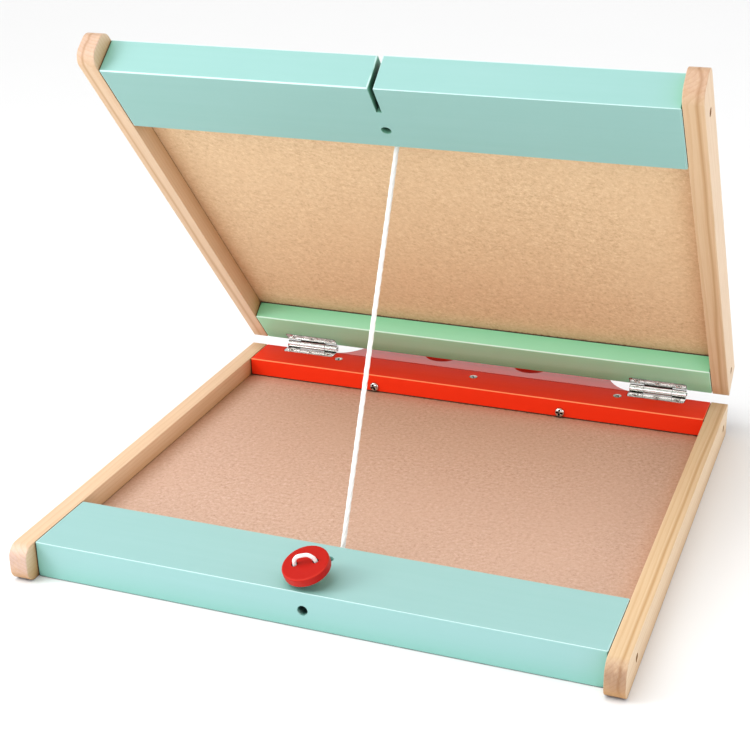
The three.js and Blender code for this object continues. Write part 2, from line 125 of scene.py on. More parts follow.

# The upward share of the normal over which the painted highlight of a rounded edge starts, beside a side
# face, and over which it ends, in a top or bottom face
EDGE_STARTS = (0.08, 0.45)
EDGE_ENDS = (0.80, 0.985)


def set_stops(colour_ramp, stops):
    """Gives a colour ramp its stops: each a position and a colour."""
    elements = colour_ramp.elements
    while len(elements) < len(stops):
        elements.new(0.5)
    for element, (position, colour) in zip(elements, stops):
        element.position = position
        element.color = (*colour, 1)


class Shader:
    """A material's node tree, with short calls for the nodes used here."""

    def __init__(self, name, **surface):
        self.material = bpy.data.materials.new(name)
        self.material.use_nodes = True
        self.tree = self.material.node_tree
        self.surface = self.tree.nodes["Principled BSDF"]
        for socket, value in surface.items():
            self.surface.inputs[socket.replace("_", " ")].default_value = value

    def add(self, kind, inputs=(), **settings):
        node = self.tree.nodes.new(kind)
        for key, value in settings.items():
            setattr(node, key, value)
        for key, value in dict(inputs).items():
            if isinstance(value, bpy.types.NodeSocket):
                self.tree.links.new(value, node.inputs[key])
            else:
                node.inputs[key].default_value = value
        return node

    def place(self, turn=(0, 0, 0), stretch=(1, 1, 1), shift=(0, 0, 0)):
        """Rest coordinates in metres, turned, then stretched and shifted."""
        where = self.add("ShaderNodeTexCoord").outputs["Object"]
        turned = self.add("ShaderNodeMapping", {"Vector": where, "Rotation": turn})
        return self.add(
            "ShaderNodeMapping",
            {"Vector": turned.outputs[0], "Scale": stretch, "Location": shift},
        ).outputs[0]

    def noise(self, vector, scale, detail=4.0, roughness=0.55, distortion=0.0):
        return self.add(
            "ShaderNodeTexNoise",
            {
                "Vector": vector,
                "Scale": scale,
                "Detail": detail,
                "Roughness": roughness,
                "Distortion": distortion,
            },
        ).outputs["Fac"]

    def ramp(self, factor, *stops):
        node = self.add("ShaderNodeValToRGB", {"Fac": factor})
        set_stops(node.color_ramp, stops)
        return node.outputs["Color"]

    def span(self, factor, low, high, start=0.0, end=1.0):
        """factor, from start to end, taken to low to high."""
        return self.add(
            "ShaderNodeMapRange",
            {
                "Value": factor,
                "From Min": start,
                "From Max": end,
                "To Min": low,
                "To Max": high,
            },
        ).outputs["Result"]

    def math(self, operation, a, b):
        return self.add("ShaderNodeMath", {0: a, 1: b}, operation=operation).outputs[0]

    def absolute(self, value):
        return self.math("ABSOLUTE", value, 0.0)

    def mix(self, factor, a, b, blend="MIX"):
        node = self.add("ShaderNodeMix", data_type="RGBA", blend_type=blend)
        for key, value in ((0, factor), (6, a), (7, b)):
            if isinstance(value, bpy.types.NodeSocket):
                self.tree.links.new(value, node.inputs[key])
            elif key == 0:
                node.inputs[key].default_value = value
            else:
                node.inputs[key].default_value = (*value, 1)
        return node.outputs[2]

    def tinted(self, tone, tint):
        return self.mix(1.0, tone, tint, blend="MULTIPLY")

    def link(self, socket, value):
        self.tree.links.new(value, self.surface.inputs[socket])

    def facing(self, turn):
        """The surface's normal along the piece's own axes: x, y and z."""
        rest = self.add("ShaderNodeTexCoord").outputs["Normal"]
        turned = self.add("ShaderNodeMapping", {"Vector": rest, "Rotation": turn})
        return self.add("ShaderNodeSeparateXYZ", {0: turned.outputs[0]}).outputs

    def rounding(self, turn):
        """1 on the rounded upper and lower edges of a piece, and 0 on its faces."""
        steep = self.absolute(self.facing(turn)["Z"])
        off_side = self.span(steep, 0, 1, *EDGE_STARTS)
        off_top = self.span(steep, 1, 0, *EDGE_ENDS)
        return self.math("MULTIPLY", off_side, off_top)

    def crevice(self, reach, shut_share, open_share):
        """1 in holes, slots and corners, 0 where the surface is open: the mask of painted shade."""
        node = self.add("ShaderNodeAmbientOcclusion", {"Distance": reach}, samples=8)
        return self.span(node.outputs["AO"], 1, 0, shut_share, open_share)

    def with_painted_shade(self, tone, corner, hollow, share=0.55):
        """The tone with painted shade: the corner colour where pieces meet and the hollow colour in holes.
        """
        near = self.math("MULTIPLY", self.crevice(CORNER_SHADE_REACH, *CORNER_SHADE_OPEN), share)
        tone = self.mix(near, tone, corner)
        return self.mix(self.crevice(HOLLOW_SHADE_REACH, *HOLLOW_SHADE_OPEN), tone, hollow)

    def bump(self, height, distance, strength):
        """Relief of the given height in metres, where height goes from 0 to 1."""
        node = self.add(
            "ShaderNodeBump",
            {"Height": height, "Distance": distance, "Strength": strength},
        )
        self.link("Normal", node.outputs[0])


# ---- Materials ----------------------------------------------------------------------------------
# Patterns follow the axes of the piece's body, and the lid's lean back by LID_TILT at rest. Side rails
# have their grain along Y, cross rails along X. Noise scales are in cells per metre. Colours are linear.

LEAN = {BASE: (0, 0, 0), LID: (LID_TILT, 0, 0), BUTTON: (0, 0, 0)}
WAVE_PERIOD = 2 * math.pi / 20  # length of one wave of the Wave texture at scale 1

RING_PITCH = 2.3 * MM
RING_SWAY = 4 * MM
RING_RISE = 3 * MM
STRIPE_REACH = 1.5 * MM
PINE_RINGS = (
    (0.0, (0.86, 0.69, 0.50)),
    (0.55, (0.83, 0.65, 0.455)),
    (0.9, (0.76, 0.55, 0.35)),
    (1.0, (0.85, 0.675, 0.485)),
)
PINE_CLOUD = (0.865, 0.71, 0.51)
PINE_STREAK = (0.70, 0.475, 0.27)
PINE_FIBRE = (0.62, 0.40, 0.215)
PINE_STRIPE = (0.58, 0.36, 0.17)
PINE_CORNER_SHADE = (0.50, 0.25, 0.07)
PINE_HOLLOW_SHADE = (0.14, 0.055, 0.02)
# Painted light: the left and right faces of the pine are made lighter and bluer, for the light from the
# sides
PINE_SIDE_LIGHT = (1.10, 1.15, 1.24)  # of the left and right faces

BOARD_FLECKS = (
    (0.30, (0.36, 0.19, 0.10)),
    (0.43, (0.60, 0.38, 0.25)),
    (0.57, (0.71, 0.475, 0.33)),
    (0.74, (0.90, 0.70, 0.56)),
)
BOARD_HAIR = (0.50, 0.30, 0.18)
BOARD_STRAND = (0.83, 0.63, 0.48)
BOARD_CLOUD = (0.665, 0.43, 0.29)
BOARD_EDGE = (0.20, 0.11, 0.06)
BOARD_CORNER_SHADE = (0.42, 0.20, 0.09)
BOARD_HOLLOW_SHADE = (0.10, 0.05, 0.03)
BOARD_EDGE_WIDTH = 1.6 * MM

NICKEL_BRIGHT = (0.80, 0.79, 0.77)
NICKEL_SMUDGE = (0.66, 0.65, 0.63)
NICKEL_RECESS_SHADE = (0.03, 0.026, 0.022)
NICKEL_SHADE_REACH = 1.6 * MM
NICKEL_SHADE_OPEN = (0.3, 0.8)

COTTON_PALE = (0.94, 0.93, 0.91)
COTTON_SHADED = (0.84, 0.825, 0.80)

CHALKBOARD_COAT = (0.016, 0.018, 0.019)
CHALK_DUST = (0.13, 0.13, 0.13)

DRY_WIPE_SHEET = (0.88, 0.89, 0.89)
DRY_WIPE_GHOST = (0.78, 0.80, 0.82)


def own_box(node, body):
    """The lowest and highest corners of a CAD node, measured along its body's own axes."""
    lean = Matrix.Rotation(LEAN[body][0], 3, "X")
    corners = np.array([lean @ v.co for v in nodes[node].data.vertices])
    return Vector(corners.min(0)), Vector(corners.max(0))


def pine(name, node, body, pith_side, pith_rise, tint, end_tint, stripe):
    """Pale lacquered pine.

    Its rings lie round a pith beside and above the rail, and its end grain drinks darker. The stripe is
    how far its darkest ring lies from the rail's middle.
    """
    low, high = own_box(node, body)
    pith = ((low.x + high.x) / 2 + pith_side, 0, high.z + pith_rise)
    s = Shader(name, Coat_Weight=0.1, Coat_Roughness=0.35)
    turn = LEAN[body]
    drift = s.place(turn, stretch=(1, 0.06, 1), shift=(pith_side * 90, 0, 0))
    sway = s.noise(drift, 55, detail=3, roughness=0.5)
    rise = s.noise(s.place(turn, (1, 0.09, 1), (3, 1, 2)), 35, detail=2)
    bend = s.add(
        "ShaderNodeCombineXYZ",
        {
            "X": s.span(sway, -RING_SWAY, RING_SWAY),
            "Z": s.span(rise, -RING_RISE, RING_RISE),
        },
    ).outputs[0]
    around = s.add(
        "ShaderNodeVectorMath",
        {0: s.place(turn, shift=(-pith[0], 0, -pith[2])), 1: bend},
        operation="ADD",
    ).outputs[0]
    rings = s.add(
        "ShaderNodeTexWave",
        {
            "Vector": around,
            "Scale": WAVE_PERIOD / RING_PITCH,
            "Distortion": 0.5,
            "Detail": 2,
            "Detail Scale": 3,
        },
        wave_type="RINGS",
        rings_direction="Y",
        wave_profile="SAW",
    ).outputs["Fac"]
    fibres = s.noise(s.place(turn, (1, 0.025, 1)), 1500, detail=3)
    streaks = s.noise(s.place(turn, (1, 0.03, 1), (7, 0, 5)), 260, detail=3)
    clouds = s.noise(drift, 18, detail=2)
    tone = s.ramp(rings, *PINE_RINGS)
    tone = s.mix(s.span(clouds, 0, 0.7), tone, PINE_CLOUD)
    tone = s.mix(s.span(streaks, 0, 0.45, 0.55, 0.8), tone, PINE_STREAK)
    tone = s.mix(s.span(fibres, 0, 0.22, 0.4, 0.8), tone, PINE_FIBRE)
    x = s.add("ShaderNodeSeparateXYZ", {0: around}).outputs["X"]
    away = s.absolute(s.math("SUBTRACT", x, stripe - pith_side))
    tone = s.mix(s.span(away, 0.8, 0, 0, STRIPE_REACH), tone, PINE_STRIPE)
    tone = s.tinted(tone, tint)
    # Painted light: the faces that look left or right are made lighter and bluer
    facing = s.facing(turn)
    sides = s.tinted(tone, PINE_SIDE_LIGHT)
    tone = s.mix(s.absolute(facing["X"]), tone, sides)
    pores = s.noise(s.place(turn, (1, 1, 0.35)), 420, detail=4, roughness=0.7)
    end_grain = s.absolute(facing["Y"])
    drink = s.math("MULTIPLY", end_grain, s.span(pores, 0.75, 1.1, 0.35, 0.6))
    tone = s.mix(drink, tone, s.tinted(tone, end_tint))
    # Painted shade: the pine darkens to its corner colour in corners and to its hollow colour in holes
    tone = s.with_painted_shade(tone, PINE_CORNER_SHADE, PINE_HOLLOW_SHADE, share=0.85)
    s.link("Base Color", tone)
    s.link("Roughness", s.span(fibres, 0.4, 0.58))
    relief = s.math("ADD", s.math("MULTIPLY", rings, 0.3), fibres)
    s.bump(relief, distance=0.06 * MM, strength=0.45)
    return s.material


def painted(
    name,
    body,
    colour,
    shade,
    edge,
    corner,
    hollow,
    along=(0.03, 1, 1),
    gloss=0.1,
    outward=None,
):
    """Satin paint on wood: the grain telegraphs faintly through, and the brushed film varies in thickness.

    The rounded edges take the paler edge colour, a painted highlight, and holes and corners take painted
    shade. Along is the stretch of the grain's pattern. The lid's faces that look up or back take the
    outward colour, where there is one; the other faces keep the colour given, which on the lid's back rail
    is painted green light reflected from the hardboard.
    """
    s = Shader(
        name,
        Coat_Weight=gloss,
        Coat_Roughness=0.2,
        Coat_IOR=1.5 + 0.15 * gloss,
        Specular_IOR_Level=0.06 + 0.3 * gloss,
    )
    turn = LEAN[body]
    grain = s.noise(s.place(turn, along), 1000, detail=4)
    broad = s.noise(s.place(turn, along), 210, detail=3)
    patches = s.noise(s.place(turn), 16, detail=3)
    peel = s.noise(s.place(turn), 1300, detail=1)
    tone = s.mix(s.span(broad, 0, 0.4, 0.35, 0.75), colour, shade)
    tone = s.mix(s.span(patches, 0, 0.3, 0.3, 0.7), tone, shade)
    if outward is not None:
        facing = s.facing(turn)
        out = s.span(s.math("ADD", facing["Y"], facing["Z"]), 0, 1, -0.3, 0.3)
        tone = s.mix(out, tone, outward)
    # Painted highlight: the rounded edges take the paler edge colour; then painted shade in corners and
    # holes
    edge_highlight = s.math("MULTIPLY", s.rounding(turn), s.span(broad, 0.7, 1, 0.3, 0.7))
    tone = s.with_painted_shade(s.mix(edge_highlight, tone, edge), corner, hollow)
    s.link("Base Color", tone)
    s.link("Roughness", s.span(grain, 0.36, 0.5))
    relief = s.math("ADD", grain, s.math("MULTIPLY", broad, 1.5))
    relief = s.math("ADD", relief, s.math("MULTIPLY", peel, 0.4))
    s.bump(relief, distance=0.035 * MM, strength=0.6)
    return s.material


def hardboard(name, body, tint):
    """Pressed brown fibre: a felt of pale and dark flecks, ragged where it meets the cross rails."""
    s = Shader(name, Specular_IOR_Level=0.3)
    turn = LEAN[body]
    fleck = s.noise(s.place(turn), 430, detail=6, roughness=0.8)
    lean = turn[0]
    hair = s.noise(s.place((lean, 0, 0.6), (1, 0.22, 1)), 800, detail=3, distortion=1.6)
    strand_place = s.place((lean, 0, -0.5), (0.2, 1, 1), (5, 3, 1))
    strand = s.noise(strand_place, 700, detail=3, distortion=1.2)
    clouds = s.noise(s.place(turn), 13, detail=4)
    tone = s.ramp(fleck, *BOARD_FLECKS)
    tone = s.mix(s.span(hair, 0, 0.55, 0.5, 0.8), tone, BOARD_HAIR)
    tone = s.mix(s.span(strand, 0, 0.4, 0.55, 0.8), tone, BOARD_STRAND)
    tone = s.mix(s.span(clouds, 0, 0.5, 0.3, 0.7), tone, BOARD_CLOUD)
    # The tint sets the board's tone for the light that falls on it: painted light and shade
    tone = s.tinted(tone, tint)
    y = s.add("ShaderNodeSeparateXYZ", {0: s.place(turn)}).outputs["Y"]
    ragged = s.noise(s.place(turn, (1, 0.5, 1)), 420, detail=4, roughness=0.7)
    front_edge = own_box(f"{body}_front_rail", body)[1].y
    back_edge = own_box(f"{body}_back_rail", body)[0].y
    for rail_edge in (front_edge, back_edge):
        away = s.absolute(s.math("SUBTRACT", y, rail_edge))
        near = s.span(away, 1, 0, 0, BOARD_EDGE_WIDTH)
        line = s.math("MULTIPLY", near, s.span(ragged, 0, 1, 0.5, 0.6))
        tone = s.mix(line, tone, BOARD_EDGE)
    # Painted shade: the board darkens in corners and in holes
    tone = s.with_painted_shade(tone, BOARD_CORNER_SHADE, BOARD_HOLLOW_SHADE)
    s.link("Base Color", tone)
    s.link("Roughness", s.span(fleck, 0.55, 0.75))
    s.bump(s.math("ADD", fleck, hair), distance=0.05 * MM, strength=0.6)
    return s.material


def nickel(name):
    """Bright nickel plate, faintly smudged by handling, with painted shade in its recesses."""
    s = Shader(name, Metallic=1.0)
    smudge = s.noise(s.place(), 220, detail=3)
    ripple = s.noise(s.place(), 130, detail=2)
    tone = s.mix(s.span(smudge, 0, 1), NICKEL_BRIGHT, NICKEL_SMUDGE)
    # Painted shade: the recesses darken to almost black
    tone = s.mix(s.crevice(NICKEL_SHADE_REACH, *NICKEL_SHADE_OPEN), tone, NICKEL_RECESS_SHADE)
    s.link("Base Color", tone)
    s.link("Roughness", s.span(smudge, 0.1, 0.22))
    s.bump(ripple, distance=0.05 * MM, strength=0.3)
    return s.material


def cotton(name):
    """Soft white cotton yarn, with the fine fuzz of its fibres."""
    s = Shader(name, Roughness=0.85, Sheen_Weight=0.35, Sheen_Roughness=0.5)
    fuzz = s.noise(s.place(), 2400, detail=4, roughness=0.7)
    s.link("Base Color", s.mix(s.span(fuzz, 0, 1), COTTON_PALE, COTTON_SHADED))
    s.bump(fuzz, distance=0.12 * MM, strength=0.6)
    return s.material


def chalkboard(name):
    """Matt black coating with the faint dust of wiped chalk."""
    s = Shader(name, Specular_IOR_Level=0.25)
    turn = LEAN[LID]
    wipe = s.noise(s.place(turn, (1, 0.16, 1)), 24, detail=5, distortion=0.9)
    swirl = s.noise(s.place(turn, (0.3, 1, 1)), 60, detail=4, distortion=1.4)
    grit = s.noise(s.place(turn), 2200, detail=2)
    dust = s.math("MULTIPLY", s.span(wipe, 0, 1, 0.35, 0.8), swirl)
    s.link("Base Color", s.mix(s.span(dust, 0, 0.7), CHALKBOARD_COAT, CHALK_DUST))
    s.link("Roughness", s.span(grit, 0.68, 0.86))
    s.bump(grit, distance=0.03 * MM, strength=0.5)
    return s.material


def whiteboard(name):
    """Glossy dry-wipe laminate, with the ghost of wiped marks."""
    s = Shader(name, Coat_Weight=0.5, Coat_Roughness=0.06)
    waver = s.noise(s.place(), 30, detail=2)
    ghost = s.noise(s.place((0, 0, 0.4), (1, 0.2, 1)), 30, detail=5)
    wiped = s.span(ghost, 0, 0.6, 0.45, 0.85)
    s.link("Base Color", s.mix(wiped, DRY_WIPE_SHEET, DRY_WIPE_GHOST))
    s.link("Roughness", s.span(ghost, 0.08, 0.22))
    s.bump(waver, distance=0.05 * MM, strength=0.2)
    return s.material


# Each paint: its colour, its darker patches, the paler colour of the painted highlight on its rounded
# edges, and its painted shade in corners and in holes
TURQUOISE = (
    (0.31, 0.53, 0.52),
    (0.28, 0.505, 0.485),
    (0.72, 0.92, 0.92),
    (0.13, 0.44, 0.32),
    (0.006, 0.018, 0.018),
)
# The lid's turquoise: the base's paint made a little darker and greener for the shade the lid stands in,
# painted shade
TURQUOISE_LID_SHADED = (
    (0.29, 0.515, 0.485),
    (0.26, 0.49, 0.45),
    (0.72, 0.92, 0.92),
    (0.12, 0.46, 0.22),
    (0.004, 0.018, 0.012),
)
# The lid's back rail on its faces that look down and forward: the lid's turquoise turned green, painted
# light reflected from the hardboard
BOUNCE_GREEN = (
    (0.38, 0.79, 0.54),
    (0.33, 0.76, 0.47),
    (0.78, 0.97, 0.88),
    (0.13, 0.56, 0.24),
    (0.02, 0.06, 0.03),
)
RED = (
    (0.88, 0.038, 0.009),
    (0.83, 0.031, 0.007),
    (0.98, 0.32, 0.14),
    (0.86, 0.026, 0.005),
    (0.14, 0.006, 0.004),
)
BUTTON_RED = (
    (0.42, 0.007, 0.004),
    (0.38, 0.006, 0.003),
    (0.52, 0.024, 0.013),
    (0.34, 0.004, 0.002),
    (0.04, 0.003, 0.002),
)
# The hardboard's tint on the base and on the lid, set for the light that falls on each: painted light and
# shade, the lid's board, which stands in shade, made lighter and yellower
BASE_BOARD_LIGHT_TINT = (0.87, 0.88, 0.98)
LID_BOARD_LIGHT_TINT = (1.14, 1.25, 1.12)

# Each side rail: how far its pith lies from its middle and from its top, its tint, the tint of its end
# grain, and how far its darkest ring lies from its middle
PINE_RAILS = {
    "base_left_rail": (
        18 * MM,
        22 * MM,
        (0.87, 0.77, 0.70),
        (0.78, 0.76, 0.95),
        -9 * MM,
    ),
    "base_right_rail": (
        -21 * MM,
        17 * MM,
        (0.82, 0.74, 0.63),
        (0.56, 0.46, 0.45),
        2.4 * MM,
    ),
    "lid_left_rail": (
        14 * MM,
        28 * MM,
        (0.84, 0.75, 0.68),
        (0.80, 0.74, 0.80),
        -1 * MM,
    ),
    "lid_right_rail": (
        -26 * MM,
        12 * MM,
        (0.80, 0.70, 0.60),
        (0.80, 0.72, 0.75),
        1.6 * MM,
    ),
}


def make_looks():
    """The material of every node, by node name."""
    shared = {
        ("turquoise_paint", BASE): painted("turquoise_base", BASE, *TURQUOISE),
        ("turquoise_paint", LID): painted("turquoise_lid_shaded", LID, *TURQUOISE_LID_SHADED),
        ("red_paint", BASE): painted("red_base", BASE, *RED, gloss=0.0),
        ("red_paint", BUTTON): painted("red_button", BUTTON, *BUTTON_RED, along=(1, 0.2, 1)),
        ("hardboard", BASE): hardboard("hardboard_base", BASE, BASE_BOARD_LIGHT_TINT),
        ("hardboard", LID): hardboard("hardboard_lid", LID, LID_BOARD_LIGHT_TINT),
        ("whiteboard", BASE): whiteboard("whiteboard"),
        ("chalkboard", LID): chalkboard("chalkboard"),
        ("nickel", BASE): nickel("nickel"),
        ("cotton", BASE): cotton("cotton"),
    }
    looks = {
        # Painted reflected light: green on the back rail's inward faces, the lid's turquoise on its outward
        # faces
        "lid_back_rail": painted("lid_back_rail_bounce_green", LID, *BOUNCE_GREEN, outward=TURQUOISE_LID_SHADED[0]),
        "carry_handle": painted("red_handle", BASE, *RED, gloss=1.0),
    }
    for node, body in BODIES.items():
        slot = SLOTS[node]
        if slot == "pine":
            looks[node] = pine(f"pine_{node}", node, body, *PINE_RAILS[node])
        else:
            shade = shared.get((slot, body)) or shared[slot, BASE]
            looks.setdefault(node, shade)
    return looks


SLOTS = {part["node"]: part["material_slot"] for part in frame["record"]["subparts"]}
BODIES = {
    node: body
    for body, members in frame["record"]["behaviour"]["bodies"].items()
    for node in members
}
LOOKS = make_looks()


def dress(obj, node):
    """Gives a piece, or the node itself, the material of that node."""
    obj.data.materials.clear()
    obj.data.materials.append(LOOKS[node])


def stand_for(piece, node):
    """The piece takes the place of a CAD node: its body and its material."""
    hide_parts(node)
    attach(piece, BODIES[node])
    dress(piece, node)
    return piece


# ---- Cords --------------------------------------------------------------------------------------
# The routes are in millimetres from the middle of the base's front face, at table height.

STAY_ROUTE = [
    (0, 39.5, 11),
    (0, 44, 11),
    (0, 48, 11),
    (0, 50.2, 11),
    (0, 52.3, 11.4),
    (0, 54.2, 12.5),
    (0, 55.6, 14.5),
    (0, 64.4, 33.6),
    (0, 73.2, 52.8),
    (0, 82, 71.9),
    (0, 90.8, 91.1),
    (0, 99.6, 110.2),
    (0, 108.4, 129.4),
    (0, 117.2, 148.5),
    (0, 126, 167.6),
    (0, 134.8, 186.8),
    (0, 143.6, 205.9),
    (0, 152.4, 225.1),
    (0, 153, 227.3),
    (0, 152.7, 229.5),
    (0, 151.6, 231.5),
    (0, 148.2, 235.4),
    (0, 144.6, 239.6),
]
BUTTON_ROUTE = [
    (-1.3, 14, 13.9),
    (-1.3, 14, 17),
    (-1.4, 14, 20),
    (-2, 13.7, 22.4),
    (-4.3, 12.5, 25),
    (-6.3, 11.1, 26.7),
    (-6.8, 10.3, 28.4),
    (-7.2, 9.5, 30.6),
    (-7.5, 8.9, 33),
    (-7.3, 8.4, 35.2),
    (-6.2, 8.2, 37.3),
    (-4.2, 8.4, 38.5),
    (-1.6, 9.1, 39.2),
    (0.6, 9.8, 38.9),
    (2.4, 10.7, 37.6),
    (3.3, 11.4, 35.7),
    (3.8, 12.2, 33.3),
    (4.2, 12.9, 30.8),
    (4.2, 13.5, 28.9),
    (3.6, 13.8, 27),
    (2.2, 14, 24.8),
    (1.5, 14, 22.4),
    (1.3, 14, 20),
    (1.3, 14, 17),
    (1.3, 14, 13.9),
]
STAY_DIAMETER = 2.8 * MM
BUTTON_CORD_DIAMETER = 2.2 * MM
CURVE_STEPS = 24  # between two points of a route

STRANDS = 3
STRAND_TURN = 2.4  # length in which a strand goes once round, over the cord's diameter
ROPE_SIDES = 27
ROPE_STEPS = 7  # rings in one diameter of length
ROPE_CORE = 0.80  # radius between the strands, over the cord's
STRAND_RISE = 0.22  # how far a strand stands over that
STRAND_FULLNESS = 0.7  # below 1 a strand is broad and its groove narrow
ROPE_TIP = (0.72, 0.14)  # size of the end ring over the others, and what each next ring gains


def smooth_path(points, spacing):
    """Points at an even spacing on a smooth curve through the given ones, and the curve's length."""
    p = [np.array(q, float) for q in points]
    p = [2 * p[0] - p[1], *p, 2 * p[-1] - p[-2]]
    dense = []
    for a, b, c, d in zip(p, p[1:], p[2:], p[3:]):
        for t in np.linspace(0, 1, CURVE_STEPS, endpoint=False):
            dense.append(
                0.5
                * (
                    2 * b
                    + (c - a) * t
                    + (2 * a - 5 * b + 4 * c - d) * t**2
                    + (3 * b - a - 3 * c + d) * t**3
                )
            )
    dense = np.array([*dense, p[-2]])
    steps = np.linalg.norm(np.diff(dense, axis=0), axis=1)
    run = np.concatenate([[0], np.cumsum(steps)])
    even = np.linspace(0, run[-1], max(2, round(run[-1] / spacing)) + 1)
    path = np.stack([np.interp(even, run, dense[:, i]) for i in range(3)], 1)
    return path, run[-1]


def bridge(mesh, ring, following):
    """Joins two rings of vertices with a band of faces."""
    for j in range(len(ring)):
        k = (j + 1) % len(ring)
        mesh.faces.new((ring[j], ring[k], following[k], following[j]))


def ring_round(mesh, place, side, other, angles, radii):
    """A ring of vertices round a place, in the plane of two directions."""
    return [
        mesh.verts.new(place + r * (math.cos(a) * side + math.sin(a) * other))
        for a, r in zip(angles, radii)
    ]


def rope(name, route, diameter):
    """A twisted cord: a tube whose section has one lobe for each strand and turns as it goes along."""
    points = [in_frame(*p) for p in route]
    path, length = smooth_path(points, diameter / ROPE_STEPS)
    tangent = np.gradient(path, axis=0)
    tangent /= np.linalg.norm(tangent, axis=1)[:, None]
    side = np.cross(tangent[0], (1, 0.2, 0.1))
    angle = np.linspace(0, 2 * math.pi, ROPE_SIDES, endpoint=False)
    mesh = bmesh.new()
    rings = []
    step = length / (len(path) - 1)
    tip, gain = ROPE_TIP
    for i, (place, along) in enumerate(zip(path, tangent)):
        side = side - along * np.dot(side, along)
        side /= np.linalg.norm(side)
        other = np.cross(along, side)
        turn = i * step / (STRAND_TURN * diameter) * 2 * math.pi
        lobes = np.abs(np.cos(STRANDS / 2 * (angle - turn / STRANDS)))
        radius = diameter / 2 * (ROPE_CORE + STRAND_RISE * lobes**STRAND_FULLNESS)
        from_end = min(i, len(path) - 1 - i)
        radius = radius * min(1.0, tip + gain * from_end)
        rings.append(ring_round(mesh, place, side, other, angle, radius))
    for ring, following in zip(rings, rings[1:]):
        bridge(mesh, ring, following)
    mesh.faces.new(list(reversed(rings[0])))
    mesh.faces.new(rings[-1])
    return finish_mesh(name, mesh, "stay_cord"), points, length


def finish_mesh(name, mesh, node):
    """A new smooth object made of a bmesh, at the origin, with the material of that node."""
    bmesh.ops.recalc_face_normals(mesh, faces=mesh.faces)
    data = bpy.data.meshes.new(name)
    mesh.to_mesh(data)
    mesh.free()
    for polygon in data.polygons:
        polygon.use_smooth = True
    obj = bpy.data.objects.new(name, data)
    bpy.context.scene.collection.objects.link(obj)
    dress(obj, node)
    return obj


def make_stay_cord():
    cord, points, length = rope("stay_rope", STAY_ROUTE, STAY_DIAMETER)
    knots = [make_knot("base_stay_knot"), make_knot("lid_stay_knot")]
    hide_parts("stay_cord")
    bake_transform(cord)


def make_button_cord():
    cord, points, length = rope("button_rope", BUTTON_ROUTE, BUTTON_CORD_DIAMETER)
    ends = [
        rounded("closing_button", *ROUNDED["closing_button"]),
        make_knot("button_knot"),
    ]
    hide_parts("button_cord")
    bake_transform(cord)


# ---- Rails, panels, handle, button and hinges ----------------------------------------------------

# Millimetres: the radius that each kind of node's sharp edges are rounded to, and how close to two sides of
# its box an edge has to lie to be rounded. Where that is None every sharp edge is.
ROUNDED = {
    "left_rail": (1.0, 3.0),
    "right_rail": (1.0, 3.0),
    "front_rail": (0.75, 0.05),
    "back_rail": (0.75, 0.05),
    "carry_handle": (2.4, None),
    "tray_panel": (0.3, None),
    "writing_board": (0.3, None),
    "closing_button": (0.35, None),
    "hinge_leaf": (0.18, None),
    "hinge_pin": (0.2, None),
}
EDGE_SEGMENTS = 3
SHARP = math.radians(33)  # an edge that turns more than this is rounded
FLAT = math.radians(0.5)  # and faces that turn less than this are joined
SAME_PLACE = 0.005 * MM  # vertices this close are one


def applied(piece):
    """The piece's mesh with its modifiers applied."""
    bpy.context.view_layer.update()
    graph = bpy.context.evaluated_depsgraph_get()
    finished = bpy.data.meshes.new_from_object(piece.evaluated_get(graph))
    piece.modifiers.clear()
    piece.data = finished
    finished.name = piece.name


def smooth_below(obj, angle):
    """Keeps the edges that turn more than the angle crisp."""
    mesh = bmesh.new()
    mesh.from_mesh(obj.data)
    for edge in mesh.edges:
        if len(edge.link_faces) == 2:
            edge.smooth = edge.calc_face_angle() < angle
    mesh.to_mesh(obj.data)
    mesh.free()


def mark_outline(piece, node, reach):
    """Gives a bevel weight to the edges that lie along two sides of the piece's own box."""
    body = BODIES[node]
    low, high = own_box(node, body)
    lean = Matrix.Rotation(LEAN[body][0], 3, "X")
    mesh = bmesh.new()
    mesh.from_mesh(piece.data)
    weight = mesh.edges.layers.float.new("bevel_weight_edge")
    for edge in mesh.edges:
        at_sides = min(
            sum(min(p[i] - low[i], high[i] - p[i]) < reach for i in range(3))
            for p in (lean @ v.co for v in edge.verts)
        )
        sharp = len(edge.link_faces) == 2 and edge.calc_face_angle() > SHARP
        edge[weight] = float(at_sides >= 2 and sharp)
    mesh.to_mesh(piece.data)
    mesh.free()


def rounded(node, radius, reach):
    """The node's own shape with its sharp edges rounded and its flat faces kept flat."""
    piece = bpy.data.objects.new(f"{node}_finished", nodes[node].data.copy())
    bpy.context.scene.collection.objects.link(piece)
    weld = piece.modifiers.new("weld", "WELD")
    weld.merge_threshold = SAME_PLACE
    flats = piece.modifiers.new("flats", "DECIMATE")
    flats.decimate_type = "DISSOLVE"
    flats.angle_limit = FLAT
    applied(piece)
    edges = piece.modifiers.new("edges", "BEVEL")
    edges.width = radius * MM
    edges.segments = EDGE_SEGMENTS
    edges.limit_method = "ANGLE"
    edges.angle_limit = SHARP
    edges.use_clamp_overlap = True
    edges.miter_outer = "MITER_ARC"
    if reach is not None:
        mark_outline(piece, node, reach * MM)
        edges.limit_method = "WEIGHT"
    normals = piece.modifiers.new("normals", "WEIGHTED_NORMAL")
    normals.keep_sharp = True
    for polygon in piece.data.polygons:
        polygon.use_smooth = True
    smooth_below(piece, SHARP)
    applied(piece)
    return stand_for(piece, node)


def make_rounded_pieces():
    """Every rounded node but the button, which make_button_cord makes with its cord."""
    for node in nodes:
        for kind, (radius, reach) in ROUNDED.items():
            if node.endswith(kind) and node != "closing_button":
                rounded(node, radius, reach)


# ---- Screws and knots ----------------------------------------------------------------------------

